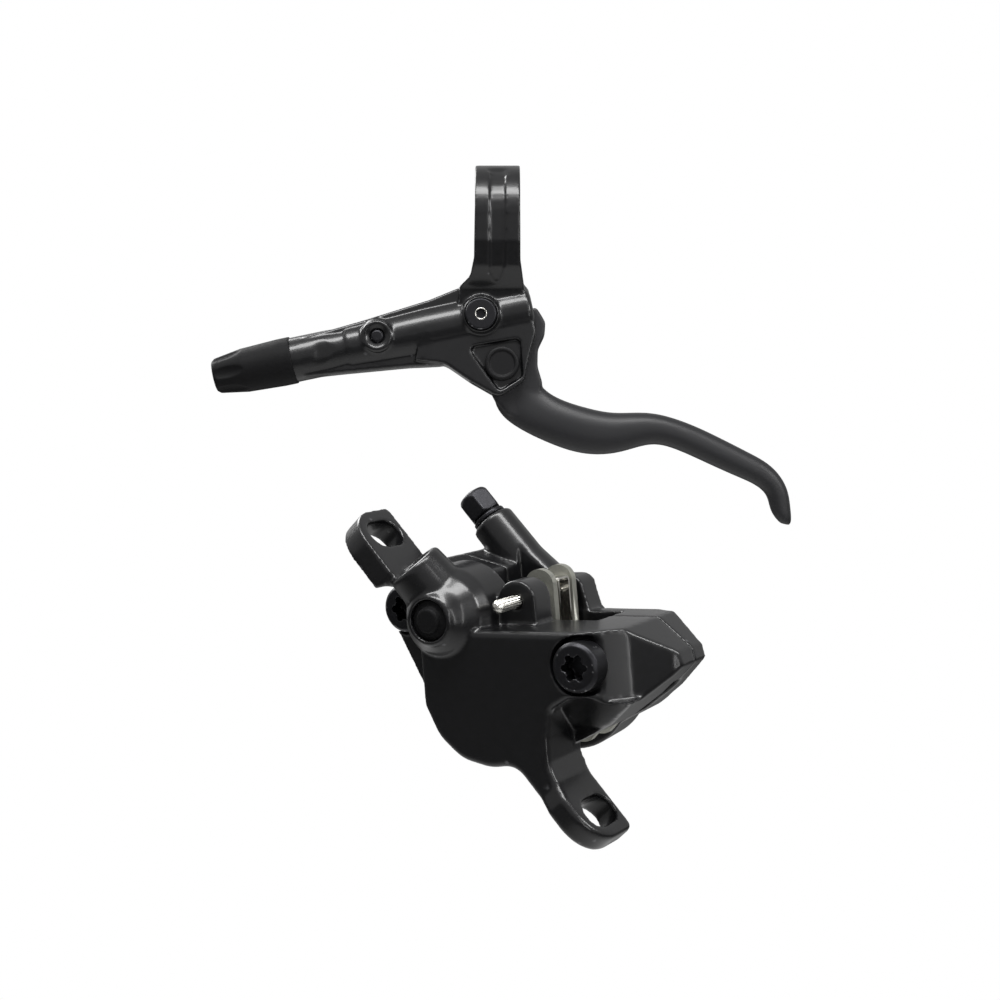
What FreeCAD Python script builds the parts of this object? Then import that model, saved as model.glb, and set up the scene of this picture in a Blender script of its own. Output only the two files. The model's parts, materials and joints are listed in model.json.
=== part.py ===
import FreeCAD, Part
import Sketcher
import math
import os
import re
from FreeCAD import Placement, Rotation, Vector

# Hydraulic disc brake for a bicycle: a brake lever with its master cylinder, and a post mount caliper.
# Lever frame: origin in the middle of the handlebar clamp, +X along the bar, +Z up, +Y to the far side.
# Caliper frame: X along the disc's edge, Y from the wheel's outside to the inside, Z away from its centre.

doc = FreeCAD.newDocument("HydraulicDiscBrake")
sheet = doc.addObject("Spreadsheet::Sheet", "Sizes")

SIZES = {
    # handlebar clamp
    "bar_diameter": 22.2,
    "ring_diameter": 30.0,
    "ring_width": 13.0,
    "ring_gap": 2.0,
    "lug_reach": 25.0,
    "lug_height": 7.5,
    "clamp_bolt_diameter": 5.0,
    "clamp_bolt_offset": 18.6,
    "panel_width": 4.7,
    "panel_depth": 0.6,
    # master cylinder, measured along its axis from the open right end
    "cylinder_tilt": 11.84,
    "cylinder_end_across": 9.4,
    "cylinder_end_up": -27.4,
    "cylinder_diameter": 15.2,
    "cylinder_straight": 30.0,
    "neck_diameter": 13.2,
    "neck_start": 60.0,
    "body_length": 73.0,
    "master_bore": 9.6,
    "bore_start": 7.0,
    "bore_end": 54.0,
    "pushrod_radius": 1.45,
    "port_diameter": 8.0,
    "port_depth": 10.0,
    "passage_diameter": 2.2,
    # pivot
    "pivot_across": 1.3,
    "pivot_up": -43.4,
    "axle_diameter": 4.0,
    "bush_diameter": 6.0,
    "ear_width": 13.2,
    "fork_width": 6.8,
    "cap_diameter": 10.0,
    "recess_depth": 1.2,
    # blade
    "root_clearance": 0.3,
    "blade_depth": 11.0,
    # fits shared by all pieces
    "thread_clearance": 0.05,
    "sliding_clearance": 0.05,
    "free_clearance": 0.3,
    # small lever pieces
    "bleed_across": -4.8,
    "bleed_up": -29.3,
    "bleed_boss_diameter": 11.0,
    "bleed_boss_reach": 8.5,
    "bleed_head_diameter": 9.2,
    "bleed_head_thickness": 1.6,
    "plug_across": -35.0,
    "plug_up": -35.5,
    "plug_boss_diameter": 9.4,
    "plug_boss_reach": 7.9,
    "plug_diameter": 4.0,
    "boot_length": 24.0,
    "boot_start": 70.6,
    "boot_diameter": 13.9,
    "boot_end_diameter": 10.3,
    "hose_hole": 5.0,
    "reservoir_start": 10.0,
    "reservoir_length": 34.0,
    "reservoir_height": 13.0,
    "reservoir_reach": 13.0,
    "reservoir_wall": 1.8,
    "lid_thickness": 1.8,
    "lid_screw_diameter": 2.5,
    # caliper: post mount
    "mount_spacing": 74.2,
    "mount_angle": 51.0,
    "slot_width": 6.6,
    "slot_length": 10.5,
    "ear_thickness": 5.5,
    "ear_reach": 43.4,
    "ear_start": 28.0,
    "ear_near": 8.4,
    "ear_far": 7.0,
    "ear_corner": 8.0,
    "edge_round": 1.2,
    # caliper: halves
    "seam": 15.5,
    "near_face": 7.2,
    "far_face": 35.6,
    "ledge": 8.8,
    "disc_slot": 4.0,
    "disc_slot_radius": 81.0,
    "disc_slot_top": 0.3,
    "pocket_left": -8.3,
    "pocket_right": 20.9,
    "pocket_depth": 6.0,
    "piston_across": 6.3,
    "piston_up": -7.5,
    "piston_diameter": 21.0,
    "piston_length": 11.0,
    "piston_wall": 2.6,
    "seal_width": 2.2,
    "seal_height": 1.4,
    "body_bolt_diameter": 6.0,
    "body_bolt_head": 10.2,
    "body_bolt_head_height": 5.0,
    "bolt_pocket_diameter": 12.2,
    "front_bolt_across": 24.8,
    "front_bolt_up": 1.6,
    "rear_bolt_across": -19.4,
    "rear_bolt_up": 12.6,
    "front_seat": -3.8,
    "rear_seat": 3.2,
    "oilway_across": -7.2,
    "oilway_up": 11.4,
    "oilway_reach": 11.0,
    "oilway_rim": 10.6,
    "oilway_plug": 8.4,
    "hose_boss_across": -13.0,
    "hose_boss_near": 6.05,
    "hose_boss_up": 22.65,
    "hose_boss_diameter": 12.3,
    "hose_boss_length": 16.0,
    "bleed_tower_across": -12.1,
    "bleed_tower_far": 25.0,
    "bleed_tower_up": 28.5,
    "bleed_tower_diameter": 9.9,
    "bleed_tower_length": 14.0,
    "nipple_across_flats": 7.0,
    "nipple_height": 6.4,
    # pads
    "plate_thickness": 1.8,
    "plate_width": 28.0,
    "plate_top": 4.0,
    "plate_bottom": -17.5,
    "lining_thickness": 2.0,
    "tab_width": 6.8,
    "tab_top": 19.0,
    "pin_across": 7.3,
    "pin_up": 13.6,
    "pin_diameter": 2.7,
    "pin_near_end": 7.6,
    "spring_sheet": 0.4,
    "spring_top": 16.8,
    "lug_radius": 4.4,
    # where the caliper lies beside the lever
    "caliper_across": -1.4,
    "caliper_near": 145.9,
    "caliper_down": 117.9,
    "caliper_yaw": -31.3,
    "caliper_pitch": -2.2,
    "caliper_roll": 5.4,
}

for row, (alias, amount) in enumerate(SIZES.items(), start=1):
    sheet.set(f"A{row}", alias)
    sheet.set(f"B{row}", str(amount))
    sheet.setAlias(f"B{row}", alias)
doc.recompute()

SKETCH_ORIGIN = -1
HORIZONTAL = Vector(0, 1, 0)
parts = []


def formula(text):
    """Write the sheet's name before each alias in a formula."""
    return re.sub(r"[a-z_]+", lambda word: "Sizes." + word[0] if word[0] in SIZES else word[0], str(text))


def number(text):
    """Work out a formula of the sheet's aliases."""
    return float(sheet.evalExpression(formula(text)))


def bind(item, **formulas):
    for name, text in formulas.items():
        item.setExpression(name, formula(text))
    return item


def origin_plane(body, role):
    return next(feature for feature in body.Origin.OriginFeatures if feature.Role == role)


def outline(body, role, corners, offset="0"):
    """A closed outline of straight edges, each corner bound to the sheet."""
    sketch = body.newObject("Sketcher::SketchObject", body.Name + "_outline")
    sketch.AttachmentSupport = [(origin_plane(body, role), "")]
    sketch.MapMode = "FlatFace"
    sketch.setExpression("AttachmentOffset.Base.z", formula(offset))
    points = [Vector(number(a), number(b), 0) for a, b in corners]
    for start, end in zip(points, points[1:] + points[:1]):
        sketch.addGeometry(Part.LineSegment(start, end), False)
    for index in range(len(points)):
        following = (index + 1) % len(points)
        sketch.addConstraint(Sketcher.Constraint("Coincident", index, 2, following, 1))
    for index, corner in enumerate(corners):
        for kind, text in zip(("DistanceX", "DistanceY"), corner):
            rule = Sketcher.Constraint(kind, SKETCH_ORIGIN, 1, index, 1, number(text))
            place = sketch.addConstraint(rule)
            sketch.setExpression(f"Constraints[{place}]", formula(text))
    return sketch


def slab(name, corners, near, far, plane="XZ_Plane", rounds=()):
    """An outline in X and Z, made solid from Y = near to Y = far. Corners in rounds get a radius."""
    body = doc.addObject("PartDesign::Body", name)
    if plane == "XZ_Plane":
        sketch = outline(body, plane, corners, f"-({far})")
    else:
        sketch = outline(body, plane, corners, near)
    pad = body.newObject("PartDesign::Pad", name + "_pad")
    pad.Profile = sketch
    bind(pad, Length=f"({far}) - ({near})")
    doc.recompute()
    for radius, places in rounds:
        base = body.Tip
        edges = [corner_edge(base, plane, corners[place]) for place in places]
        fillet = body.newObject("PartDesign::Fillet", name + "_round")
        fillet.Base = (base, edges)
        bind(fillet, Radius=radius)
        doc.recompute()
    return body


def corner_edge(feature, plane, corner):
    """The name of the edge that an outline's corner leaves along the slab."""
    first, second = number(corner[0]), number(corner[1])
    for index, edge in enumerate(feature.Shape.Edges, start=1):
        ends = [vertex.Point for vertex in edge.Vertexes]
        flat = [(end.x, end.z) if plane == "XZ_Plane" else (end.y, end.z) if plane == "YZ_Plane"
                else (end.x, end.y) for end in ends]
        if len(ends) == 2 and all(math.dist(point, (first, second)) < 0.001 for point in flat):
            return f"Edge{index}"
    raise ValueError(f"no edge at {corner}")


def turned(name, profile):
    """A turned piece: radius and height along its own Z axis."""
    body = doc.addObject("PartDesign::Body", name)
    sketch = outline(body, "XZ_Plane", profile)
    turn = body.newObject("PartDesign::Revolution", name + "_turn")
    turn.Profile = sketch
    turn.ReferenceAxis = (sketch, ["V_Axis"])
    turn.Angle = 360
    doc.recompute()
    return body


def rod(name, diameter, length, place=Placement()):
    item = doc.addObject("Part::Cylinder", name)
    bind(item, Radius=f"({diameter}) / 2", Height=length)
    item.Placement = place
    return item


def block(name, size, place):
    item = doc.addObject("Part::Box", name)
    bind(item, Length=size[0], Width=size[1], Height=size[2])
    item.Placement = place
    return item


def prism(name, across_flats, length, place=Placement()):
    item = doc.addObject("Part::Prism", name)
    item.Polygon = 6
    bind(item, Circumradius=f"({across_flats}) / sqrt(3)", Height=length)
    item.Placement = place
    return item


def joined(name, pieces):
    fuse = doc.addObject("Part::MultiFuse", name)
    fuse.Shapes = pieces
    doc.recompute()
    return fuse


def less(name, base, tools):
    """A piece with one or more others cut from it."""
    cut = doc.addObject("Part::Cut", name)
    cut.Base = base
    cut.Tool = tools[0] if len(tools) == 1 else joined(name + "_tools", tools)
    doc.recompute()
    return cut


def shared(name, first, second):
    both = doc.addObject("Part::Common", name)
    both.Base = first
    both.Tool = second
    doc.recompute()
    return both


def way_at(face, point):
    """The direction that a face looks in at a point."""
    across, along = face.Surface.parameter(point)
    return face.normalAt(across, along)


def is_sharp(shape, edge):
    """Whether two faces meet at a clear angle along an edge."""
    middle = edge.valueAt((edge.FirstParameter + edge.LastParameter) / 2)
    sides = shape.ancestorsOfType(edge, Part.Face)
    return len(sides) == 2 and way_at(sides[0], middle).getAngle(way_at(sides[1], middle)) > 0.5


def eased(name, base, chooser, radius):
    """A piece whose chosen sharp edges are rounded, as a mould leaves them."""
    fillet = doc.addObject("Part::Fillet", name)
    fillet.Base = base
    size = number(radius)
    fillet.Edges = [(index, size, size) for index, edge in enumerate(base.Shape.Edges, start=1)
                    if chooser(edge) and is_sharp(base.Shape, edge)]
    doc.recompute()
    return fillet


def keep(label, item, place=Placement()):
    """Make an object a part of its own, with its label and its place."""
    item.Label = label
    item.Placement = place.multiply(item.Placement)
    parts.append(item)
    return item


def spot(across, depth, up, turn=Rotation()):
    """A place from formulas, in the frame of the lever or of the caliper."""
    return Placement(Vector(number(across), number(depth), number(up)), turn)


tilt = number("cylinder_tilt")
ALONG_CYLINDER = Rotation(HORIZONTAL, 90 - tilt)
INWARD = Rotation(Vector(1, 0, 0), -90)
OUTWARD = Rotation(Vector(1, 0, 0), 90)
RIGHTWARD = Rotation(HORIZONTAL, 90)


def on_cylinder(distance, side="0", rise="0"):
    """A place at a distance from the cylinder's open end, its Z axis along the cylinder to the right."""
    end = Placement(Vector(number("cylinder_end_across"), 0, number("cylinder_end_up")), ALONG_CYLINDER)
    return end.multiply(Placement(Vector(-number(rise), number(side), -number(distance)), Rotation()))


# Lever body

ring = rod("ring", "ring_diameter", "ring_width", spot("-ring_width / 2", "0", "0", RIGHTWARD))
lugs = block("lugs", ("ring_width", "lug_reach", "2 * lug_height"),
             spot("-ring_width / 2", "0", "-lug_height"))
leg_side = slab("leg_side", [
    ("-ring_diameter / 2", "0"), ("-ring_diameter / 2 + 0.6", "-9"), ("-11.6", "-16"), ("-6.5", "-21.5"),
    ("-5", "-30"), ("5", "-30"), ("6", "-18"), ("9", "-10.5"), ("ring_diameter / 2 - 3", "0"),
], "-12", "12", "YZ_Plane", [("4", (2, 3)), ("2.5", (6, 7))])
leg_front = slab("leg_front", [
    ("-ring_width / 2", "2"), ("ring_width / 2", "2"), ("ring_width / 2 + 0.1", "-14"), ("7.6", "-20.2"),
    ("9", "-31"), ("-12", "-31"), ("-11", "-20.9"), ("-7.9", "-18.2"), ("-ring_width / 2 - 0.3", "-13.4"),
], "-20", "20", rounds=[("3", (2, 7, 8))])
leg = shared("leg", leg_side, leg_front)
barrel = turned("barrel", [
    ("0", "0.9"), ("cylinder_diameter / 2 - 1.6", "0.9"), ("cylinder_diameter / 2 - 0.5", "0.4"),
    ("cylinder_diameter / 2", "-0.3"),
    ("cylinder_diameter / 2", "-cylinder_straight"), ("neck_diameter / 2 + 0.2", "-neck_start + 6"),
    ("neck_diameter / 2 - 0.25", "-neck_start + 5"), ("neck_diameter / 2", "-neck_start"),
    ("neck_diameter / 2", "-body_length"), ("0", "-body_length"),
])
barrel.Placement = on_cylinder("0")
shoulder = slab("shoulder", [
    ("8.4", "-20.6"), ("-10.5", "-20.8"), ("-20", "-24.7"), ("-40", "-30.9"), ("-56.5", "-35.6"),
    ("-56.5", "-47.2"), ("-45.6", "-46"), ("-26.7", "-44.2"), ("-16.4", "-43.7"), ("0", "-36"),
], "-4.4", "4.4", rounds=[("6", (2, 8))])
ears = slab("ears", [
    ("9.8", "-27.6"), ("11.2", "-34.5"), ("9.7", "-39.8"), ("7.7", "-48.6"), ("0.3", "-53.2"),
    ("-7.8", "-48.6"), ("-15.4", "-43.4"), ("-24", "-42.4"), ("-22", "-34.4"),
], "-ear_width / 2", "ear_width / 2", rounds=[("2", (1,)), ("3", (2, 4)), ("2.5", (3,)), ("6", (6,))])
bleed_boss = turned("bleed_boss", [
    ("0", "0"), ("bleed_boss_diameter / 2 + 1.6", "0"), ("bleed_boss_diameter / 2", "bleed_boss_reach - 0.8"),
    ("bleed_boss_diameter / 2 - 0.4", "bleed_boss_reach"), ("0", "bleed_boss_reach"),
])
bleed_boss.Placement = spot("bleed_across", "0", "bleed_up", OUTWARD)
plug_boss = turned("plug_boss", [
    ("0", "0"), ("plug_boss_diameter / 2 + 1.2", "0"), ("plug_boss_diameter / 2", "plug_boss_reach - 0.5"),
    ("plug_boss_diameter / 2 - 0.5", "plug_boss_reach"), ("0", "plug_boss_reach"),
])
plug_boss.Placement = spot("plug_across", "0", "plug_up", OUTWARD)


def tank(name, inset, near, far):
    """The reservoir's rounded box on the far side of the cylinder."""
    box = slab(name, [
        (f"-reservoir_start - ({inset})", f"reservoir_height / 2 - ({inset})"),
        (f"-reservoir_start - reservoir_length + ({inset})", f"reservoir_height / 2 - ({inset})"),
        (f"-reservoir_start - reservoir_length + ({inset})", f"-reservoir_height / 2 + ({inset})"),
        (f"-reservoir_start - ({inset})", f"-reservoir_height / 2 + ({inset})"),
    ], near, far, rounds=[(f"reservoir_height / 2 - 0.5 - ({inset})", (0, 1, 2, 3))])
    box.Placement = on_reservoir()
    return box


def on_reservoir():
    return spot("cylinder_end_across", "0", "cylinder_end_up", Rotation(HORIZONTAL, -tilt))


reservoir = tank("reservoir", "0", "0", "reservoir_reach")
lever_solid = joined("lever_solid",
                     [ring, lugs, leg, barrel, shoulder, ears, bleed_boss, plug_boss, reservoir])

bar_bore = rod("bar_bore", "bar_diameter", "ring_width + 2", spot("-ring_width / 2 - 1", "0", "0", RIGHTWARD))
split = block("split", ("ring_width + 2", "lug_reach", "ring_gap"),
              spot("-ring_width / 2 - 1", "bar_diameter / 2 - 1", "-ring_gap / 2"))
clamp_hole = rod("clamp_hole", "clamp_bolt_diameter + 2 * thread_clearance", "4 * lug_height",
                 spot("0", "clamp_bolt_offset", "-2 * lug_height"))
fork = slab("fork", [
    ("14", "-22.4"), ("5.4", "-22.4"), ("2.4", "-24"), ("-0.2", "-31.5"), ("-6.6", "-37.6"),
    ("-8.6", "-43"), ("-7.5", "-54"), ("14", "-54"),
], "-fork_width / 2", "fork_width / 2")
RIM_STEPS = range(60, -1, -10)
rim_inside = [(f"-(ring_diameter / 2 - panel_depth) * cos({turn})",
               f"(ring_diameter / 2 - panel_depth) * sin({turn})")
              for turn in RIM_STEPS]
panel_depths = slab("panel_depths", rim_inside + [
    ("-ring_diameter / 2 + 0.6 + panel_depth", "-9"), ("-11.6 + panel_depth", "-16"),
    ("-8.2 + panel_depth", "-19.8"),
    ("-18", "-22"), ("-ring_diameter / 2 - 4", "-9"), ("-ring_diameter / 2 - 4", "ring_diameter / 2 + 2"),
], "-panel_width / 2", "panel_width / 2", "YZ_Plane")
panel_face = slab("panel_face", [
    ("-panel_width / 2", "20"), ("panel_width / 2", "20"), ("panel_width / 2", "-15.4"),
    ("0.6", "-19.6"), ("-1.2", "-19.6"), ("-panel_width / 2", "-17.6"),
], "-22", "0", rounds=[("2.4", (2,)), ("0.6", (3, 4, 5))])
panel = shared("panel", panel_depths, panel_face)
neck_flat = slab("neck_flat", [
    ("-52.8", "-5.9"), ("-38.6", "-7.25"), ("-38.6", "-9"), ("-53.6", "-9"),
], "-52", "-24", "XY_Plane")
master_bore = rod("master_bore_cut", "master_bore", "bore_end + 2", on_cylinder("bore_end"))
hose_port = rod("hose_port", "port_diameter", "port_depth + 1", on_cylinder("body_length + 1"))
hose_passage = rod("hose_passage", "passage_diameter", "body_length", on_cylinder("body_length"))
recess = slab("recess", [
    ("-8.8", "-38.6"), ("6.6", "-36"), ("7.4", "-47.2"), ("0.5", "-51.6"),
], "-20", "-ear_width / 2 + recess_depth", rounds=[("1.6", (0, 1, 2, 3))])
axle_hole = rod("axle_hole", "bush_diameter", "2 * ear_width",
                spot("pivot_across", "-ear_width", "pivot_up", INWARD))
bleed_hole = rod("bleed_hole", "clamp_bolt_diameter + 2 * thread_clearance",
                 "bleed_boss_reach - master_bore / 2 - 0.4",
                 spot("bleed_across", "-bleed_boss_reach", "bleed_up", INWARD))
bleed_sink = rod("bleed_sink", "bleed_head_diameter + 4 * thread_clearance", "1.2",
                 spot("bleed_across", "-bleed_boss_reach - 0.2", "bleed_up", INWARD))
plug_dish = turned("plug_dish", [
    ("0", "-2.4"), ("plug_diameter / 2 + thread_clearance", "-2.4"),
    ("plug_diameter / 2 + thread_clearance", "-1.1"),
    ("plug_boss_diameter / 2 - 1", "0.1"), ("0", "0.1"),
])
plug_dish.Placement = spot("plug_across", "-plug_boss_reach", "plug_up", OUTWARD)
tank_hollow = tank("tank_hollow", "reservoir_wall", "cylinder_diameter / 2 - 0.4", "reservoir_reach + 1")
fill_port = rod("fill_port", "passage_diameter", "10",
                on_cylinder("24", "0").multiply(Placement(Vector(0, 0, 0), INWARD)))


def lid_screw_places(depth):
    """The lid's two screws stand on the middle line of the reservoir, near its ends."""
    for end in ("reservoir_start + 3", "reservoir_start + reservoir_length - 3"):
        yield on_reservoir().multiply(spot(f"-({end})", depth, "0", INWARD))


lid_posts = [rod("lid_post", "lid_screw_diameter + 3", "reservoir_reach - 4", place)
             for place in lid_screw_places("4")]
lid_holes = [rod("lid_hole", "lid_screw_diameter + 2 * thread_clearance", "6", place)
             for place in lid_screw_places("reservoir_reach - 5")]
opened = less("lever_opened", lever_solid, [
    bar_bore, split, clamp_hole, fork, panel, neck_flat, master_bore, hose_port, hose_passage,
    recess, axle_hole, bleed_hole, bleed_sink, plug_dish, tank_hollow, fill_port,
])
keep("lever_body", less("lever_cast", joined("lever_posted", [opened] + lid_posts), lid_holes + [
    rod("bore_again", "master_bore", "bore_end + 2", on_cylinder("bore_end"))]))


# Screws and other turned pieces of the lever

def socket_screw(name, thread, length, head, height, flats):
    """A cylinder head screw with its thread along +Z and a hexagon socket in its head."""
    blank = turned(name + "_blank", [
        ("0", f"-({height})"), (f"({head}) / 2 - 0.4", f"-({height})"),
        (f"({head}) / 2", f"-({height}) + 0.4"),
        (f"({head}) / 2", "0"), (f"({thread}) / 2", "0"), (f"({thread}) / 2", f"({length}) - 0.5"),
        (f"({thread}) / 2 - 0.5", length), ("0", length),
    ])
    return less(name, blank,
                [prism(name + "_socket", flats, f"({height}) * 0.65", spot("0", "0", f"-({height})"))])


clamp_screw = socket_screw("clamp_screw", "clamp_bolt_diameter", "2 * lug_height + 1", "8.5", "5", "4")
keep("clamp_bolt", clamp_screw, spot("0", "clamp_bolt_offset", "lug_height", Rotation(Vector(1, 0, 0), 180)))

bleed_place = spot("bleed_across", "-bleed_boss_reach + 1", "bleed_up", INWARD)
keep("bleed_screw", socket_screw("bleed", "clamp_bolt_diameter", "bleed_boss_reach - 1.5 - master_bore / 2",
                                 "bleed_head_diameter",
                                 "bleed_head_thickness", "2.6"),
     bleed_place.multiply(Placement(Vector(0, 0, -0.4), Rotation())))
keep("bleed_screw_seal", turned("bleed_seal", [
    ("clamp_bolt_diameter / 2 + thread_clearance", "-0.4"), ("bleed_head_diameter / 2 - 0.5", "-0.4"),
    ("bleed_head_diameter / 2 - 0.5", "0"), ("clamp_bolt_diameter / 2 + thread_clearance", "0"),
]), bleed_place)
keep("port_plug", turned("plug_ball", [
    ("0", "-2.4"), ("plug_diameter / 2", "-2.4"), ("plug_diameter / 2", "-1.4"),
    ("plug_diameter / 2 - 0.6", "-1"),
    ("0", "-1"),
]), spot("plug_across", "-plug_boss_reach", "plug_up", OUTWARD))

pivot_near = "-ear_width / 2 + recess_depth"
keep("lever_axle", turned("axle", [
    ("0", pivot_near), ("axle_diameter / 2", pivot_near), ("axle_diameter / 2", "ear_width / 2 - 0.4"),
    ("axle_diameter / 2 - 0.4", "ear_width / 2"), ("0", "ear_width / 2"),
]), spot("pivot_across", "0", "pivot_up", INWARD))
keep("axle_cap", turned("cap", [
    ("0", f"{pivot_near} - 1.2"), ("cap_diameter / 2 - 1.4", f"{pivot_near} - 1.2"),
    ("cap_diameter / 2 - 1.2", f"{pivot_near} - 1.6"), ("cap_diameter / 2 - 0.5", f"{pivot_near} - 1.6"),
    ("cap_diameter / 2", f"{pivot_near} - 1.2"), ("cap_diameter / 2", pivot_near), ("0", pivot_near),
]), spot("pivot_across", "0", "pivot_up", INWARD))
for side, start, end in (("near", pivot_near, "-fork_width / 2"), ("far", "fork_width / 2", "ear_width / 2")):
    keep(f"{side}_pivot_bush", turned(side + "_bush", [
        ("axle_diameter / 2 + sliding_clearance", start), ("bush_diameter / 2", start),
        ("bush_diameter / 2", end),
        ("axle_diameter / 2 + sliding_clearance", end),
    ]), spot("pivot_across", "0", "pivot_up", INWARD))


# Lever blade: a forged bar whose section swells and turns along its middle line.
# Each station: middle across and up, width in the plane of its travel, direction of the width, depth share.
BLADE_STATIONS = [
    (3.6, -50.2, 12.4, 46, 0.56),
    (9.2, -55.6, 14.0, 56, 0.66),
    (16.4, -59.7, 13.2, 67, 0.88),
    (25.2, -62.6, 13.4, 82, 1.00),
    (35.0, -63.3, 11.7, 92, 1.00),
    (45.2, -62.2, 9.2, 88, 0.98),
    (54.0, -64.3, 8.4, 70, 0.94),
    (63.4, -68.5, 8.3, 64, 0.88),
    (72.6, -72.9, 7.8, 62, 0.82),
    (78.9, -76.6, 7.0, 48, 0.76),
    (82.2, -81.2, 6.2, 22, 0.70),
    (83.2, -85.8, 5.8, 0, 0.64),
    (84.0, -88.8, 4.6, -12, 0.56),
    (84.4, -90.2, 2.6, -14, 0.36),
]


def blade_section(across, up, width, angle, share):
    """A closed soft section: full in the middle, flatter on the side that faces the bar."""
    depth = number("blade_depth") * share / 2
    lead = Vector(math.cos(math.radians(angle)), 0, math.sin(math.radians(angle)))
    side = Vector(0, 1, 0)
    middle = Vector(across, 0, up)
    points = []
    for step in range(12):
        turn = math.radians(30 * step)
        soft = 0.82
        along = math.copysign(abs(math.cos(turn)) ** soft, math.cos(turn)) * width / 2
        deep = math.copysign(abs(math.sin(turn)) ** soft, math.sin(turn)) * depth
        points.append(middle + lead * along + side * deep)
    curve = Part.BSplineCurve()
    curve.interpolate(Points=points, PeriodicFlag=True)
    return Part.Wire(curve.toShape())


grip = Part.makeLoft([blade_section(*station) for station in BLADE_STATIONS], True, False)
root = slab("root", [
    ("11.4", "-26.7"), ("14", "-31"), ("13.8", "-34.8"), ("11.8", "-39"), ("11.7", "-44"), ("13.2", "-49"),
    ("9.4", "-59"), ("3.4", "-58.2"), ("-0.7", "-54.2"), ("-4.4", "-47"), ("-4.6", "-41"), ("-0.4", "-36.6"),
    ("5.2", "-34.2"), ("8.3", "-31.6"), ("9.2", "-27.2"),
], "-fork_width / 2 + root_clearance", "fork_width / 2 - root_clearance",
    rounds=[("1", (0, 14)), ("2", (1, 2)), ("4", (3, 4)), ("3", (9, 10))])
axle_bore = rod("axle_bore", "axle_diameter + 2 * sliding_clearance", "ear_width",
                spot("pivot_across", "-ear_width / 2", "pivot_up", INWARD))
grip_solid = doc.addObject("Part::Feature", "grip")
grip_solid.Shape = grip
doc.recompute()
keep("lever_blade", less("blade", joined("blade_whole", [root, grip_solid]), [axle_bore]))


# Inside the master cylinder

dome_start = "bore_start + 0.25 - pushrod_radius"
keep("pushrod", turned("rod_end", [("0", "0"), ("pushrod_radius", "0")] + [
    (f"pushrod_radius * cos({turn})", f"{dome_start} + pushrod_radius * sin({turn})") for turn in (0, 30, 60)
] + [("0", f"{dome_start} + pushrod_radius")]), on_cylinder("bore_start + 1"))
keep("master_piston", turned("piston_blank", [
    ("0", "-22"), ("master_bore / 2 - 1.6", "-22"), ("master_bore / 2 - 1.6", "-20"),
    ("master_bore / 2 - sliding_clearance", "-20"), ("master_bore / 2 - sliding_clearance", "-18.4"),
    ("master_bore / 2 - 1.8", "-18.4"), ("master_bore / 2 - 1.8", "-5.4"),
    ("master_bore / 2 - sliding_clearance", "-5.4"), ("master_bore / 2 - sliding_clearance", "-0.4"),
    ("master_bore / 2 - 0.4", "0"), ("pushrod_radius + 0.05", "0"), ("pushrod_radius + 0.05", "-1.2"),
    ("0", "-1.2"),
]), on_cylinder("bore_start"))
for label, place in (("primary_cup", "-18.2"), ("secondary_cup", "-7.6")):
    keep(label, turned(label + "_ring", [
        ("master_bore / 2 - 1.7", place), ("master_bore / 2 - 0.05", place),
        ("master_bore / 2 - 0.05", f"{place} + 1.8"), ("master_bore / 2 - 1.7", f"{place} + 1.8"),
    ]), on_cylinder("bore_start"))

coil_radius = number("master_bore / 2 - 1.2")
coil_length = number("bore_end - bore_start - 22.4")
helix = Part.makeHelix(coil_length / 6, coil_length - 1.2, coil_radius)
wire_section = Part.Wire(Part.makeCircle(0.5, Vector(coil_radius, 0, 0), Vector(0, 1, 0)))
coil = doc.addObject("Part::Feature", "coil")
coil.Shape = Part.Wire(helix).makePipeShell([wire_section], True, True)
keep("piston_return_spring", coil, on_cylinder("bore_end - 0.6"))

keep("hose_nut", less("nut", turned("nut_blank", [
    ("hose_hole / 2", "-10"), ("4.2", "-10"), ("4.2", "-1"), ("port_diameter / 2 - thread_clearance", "-1"),
    ("port_diameter / 2 - thread_clearance", "7"), ("hose_hole / 2", "7"),
]), [less("nut_flats", rod("nut_round", "20", "5", spot("0", "0", "-9")),
          [prism("nut_hexagon", "8", "5", spot("0", "0", "-9"))])]), on_cylinder("body_length"))

boot_blank = turned("boot_blank", [
    ("hose_hole / 2 + 0.2", "-boot_length"), ("boot_end_diameter / 2 - 0.8", "-boot_length"),
    ("boot_end_diameter / 2", "-boot_length + 1"), ("boot_end_diameter / 2 + 1.3", "-boot_length + 9"),
    ("boot_diameter / 2", "-4"), ("boot_diameter / 2", "-0.3"), ("boot_diameter / 2 - 0.3", "0"),
    ("neck_diameter / 2 + thread_clearance", "0"),
    ("neck_diameter / 2 + thread_clearance", "boot_start - body_length - 0.3"),
    ("4.7", "boot_start - body_length - 1.4"), ("4.7", "-13.2"), ("hose_hole / 2 + 0.2", "-15"),
])
scallops = []
for turn in range(6):
    ball = doc.addObject("Part::Ellipsoid", "scallop")
    ball.Radius1, ball.Radius2, ball.Radius3 = 7.0, 2.3, 2.6
    ball.Placement = Placement(Vector(), Rotation(Vector(0, 0, 1), 30 + 60 * turn)).multiply(
        Placement(Vector(number("boot_end_diameter / 2 + 1.9"), 0, number("-boot_length + 3.4")),
                  Rotation(HORIZONTAL, 6)))
    scallops.append(ball)
keep("hose_boot", less("boot", boot_blank, scallops), on_cylinder("boot_start"))

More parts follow.
